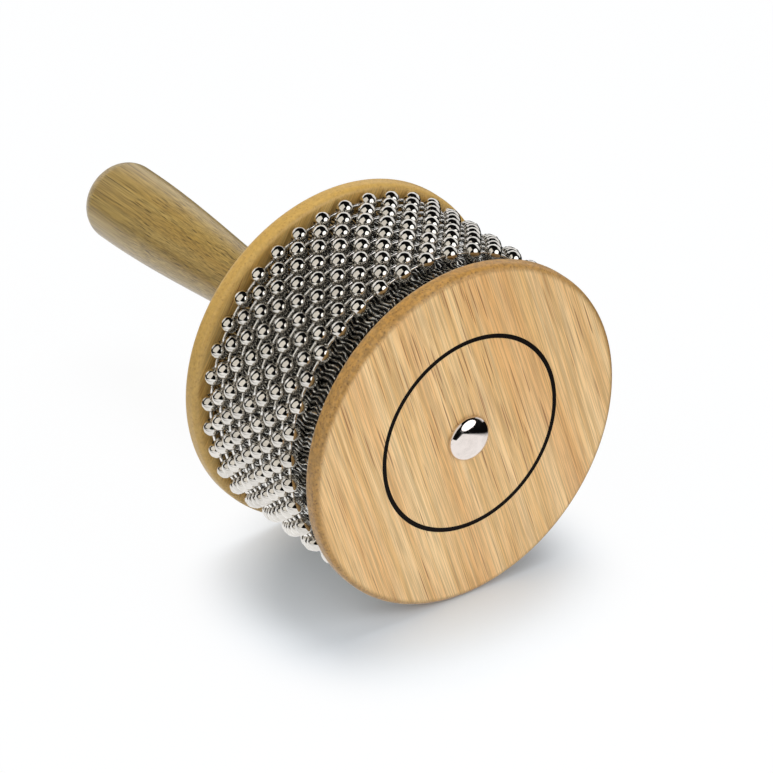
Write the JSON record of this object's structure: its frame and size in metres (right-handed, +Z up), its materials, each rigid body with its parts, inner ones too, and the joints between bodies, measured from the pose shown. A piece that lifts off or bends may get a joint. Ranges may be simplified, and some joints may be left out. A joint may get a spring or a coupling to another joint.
{
  "type": "cabasa",
  "caption": "Hand percussion shaker: loops of polished ball chain turn and scrape round a ribbed steel drum between wooden discs on a turned wooden handle.",
  "frame": {"origin": "on the floor under the middle of the whole length, in the plane through the drum's axis", "axes": "+Y along the drum's axis from the front disc to the handle's end, +Z up, lying on the rims of the two discs"},
  "size_m": [0.12, 0.2074, 0.12],
  "materials": {
    "disc_wood": "pale hardwood board, clear satin lacquer",
    "handle_wood": "turned hardwood, clear satin lacquer",
    "core_wood": "sawn softwood, bare",
    "dowel_wood": "beech dowel, bare",
    "sleeve_steel": "stainless sheet with raised ribs",
    "nail_steel": "bright steel nails",
    "bead_steel": "polished nickel plate",
    "link_steel": "polished nickel plate",
    "bolt_chrome": "polished zinc or chrome plate",
    "insert_brass": "machined brass"
  },
  "bodies": {
    "drum": {"front_disc": "disc_wood", "back_disc": "disc_wood", "drum_core": "core_wood", "ribbed_sleeve": "sleeve_steel", "sleeve_nails": "nail_steel", "tie_bolt": "bolt_chrome", "handle": "handle_wood", "handle_insert": "insert_brass", "front_dowels": "dowel_wood", "back_dowels": "dowel_wood"},
    "chain_loop_1": {"bead_loop_1": "bead_steel", "link_loop_1": "link_steel"},
    "chain_loop_2": {"bead_loop_2": "bead_steel", "link_loop_2": "link_steel"},
    "chain_loop_3": {"bead_loop_3": "bead_steel", "link_loop_3": "link_steel"},
    "chain_loop_4": {"bead_loop_4": "bead_steel", "link_loop_4": "link_steel"},
    "chain_loop_5": {"bead_loop_5": "bead_steel", "link_loop_5": "link_steel"},
    "chain_loop_6": {"bead_loop_6": "bead_steel", "link_loop_6": "link_steel"},
    "chain_loop_7": {"bead_loop_7": "bead_steel", "link_loop_7": "link_steel"},
    "chain_loop_8": {"bead_loop_8": "bead_steel", "link_loop_8": "link_steel"},
    "chain_loop_9": {"bead_loop_9": "bead_steel", "link_loop_9": "link_steel"}
  },
  "joints": [
    {"name": "chain_loop_1_turn", "type": "hinge", "parent": "drum", "child": "chain_loop_1", "pos_m": [0, -0.08027, 0.06], "axis": [0, 1, 0], "continuous": true},
    {"name": "chain_loop_2_turn", "type": "hinge", "parent": "drum", "child": "chain_loop_2", "pos_m": [0, -0.07483, 0.06], "axis": [0, 1, 0], "continuous": true},
    {"name": "chain_loop_3_turn", "type": "hinge", "parent": "drum", "child": "chain_loop_3", "pos_m": [0, -0.06939, 0.06], "axis": [0, 1, 0], "continuous": true},
    {"name": "chain_loop_4_turn", "type": "hinge", "parent": "drum", "child": "chain_loop_4", "pos_m": [0, -0.06395, 0.06], "axis": [0, 1, 0], "continuous": true},
    {"name": "chain_loop_5_turn", "type": "hinge", "parent": "drum", "child": "chain_loop_5", "pos_m": [0, -0.05851, 0.06], "axis": [0, 1, 0], "continuous": true},
    {"name": "chain_loop_6_turn", "type": "hinge", "parent": "drum", "child": "chain_loop_6", "pos_m": [0, -0.05307, 0.06], "axis": [0, 1, 0], "continuous": true},
    {"name": "chain_loop_7_turn", "type": "hinge", "parent": "drum", "child": "chain_loop_7", "pos_m": [0, -0.04763, 0.06], "axis": [0, 1, 0], "continuous": true},
    {"name": "chain_loop_8_turn", "type": "hinge", "parent": "drum", "child": "chain_loop_8", "pos_m": [0, -0.04219, 0.06], "axis": [0, 1, 0], "continuous": true},
    {"name": "chain_loop_9_turn", "type": "hinge", "parent": "drum", "child": "chain_loop_9", "pos_m": [0, -0.03675, 0.06], "axis": [0, 1, 0], "continuous": true}
  ],
  "couplings": [
    {"joint": "chain_loop_2_turn", "follows": "chain_loop_1_turn", "ratio": 1},
    {"joint": "chain_loop_3_turn", "follows": "chain_loop_1_turn", "ratio": 1},
    {"joint": "chain_loop_4_turn", "follows": "chain_loop_1_turn", "ratio": 1},
    {"joint": "chain_loop_5_turn", "follows": "chain_loop_1_turn", "ratio": 1},
    {"joint": "chain_loop_6_turn", "follows": "chain_loop_1_turn", "ratio": 1},
    {"joint": "chain_loop_7_turn", "follows": "chain_loop_1_turn", "ratio": 1},
    {"joint": "chain_loop_8_turn", "follows": "chain_loop_1_turn", "ratio": 1},
    {"joint": "chain_loop_9_turn", "follows": "chain_loop_1_turn", "ratio": 1}
  ]
}
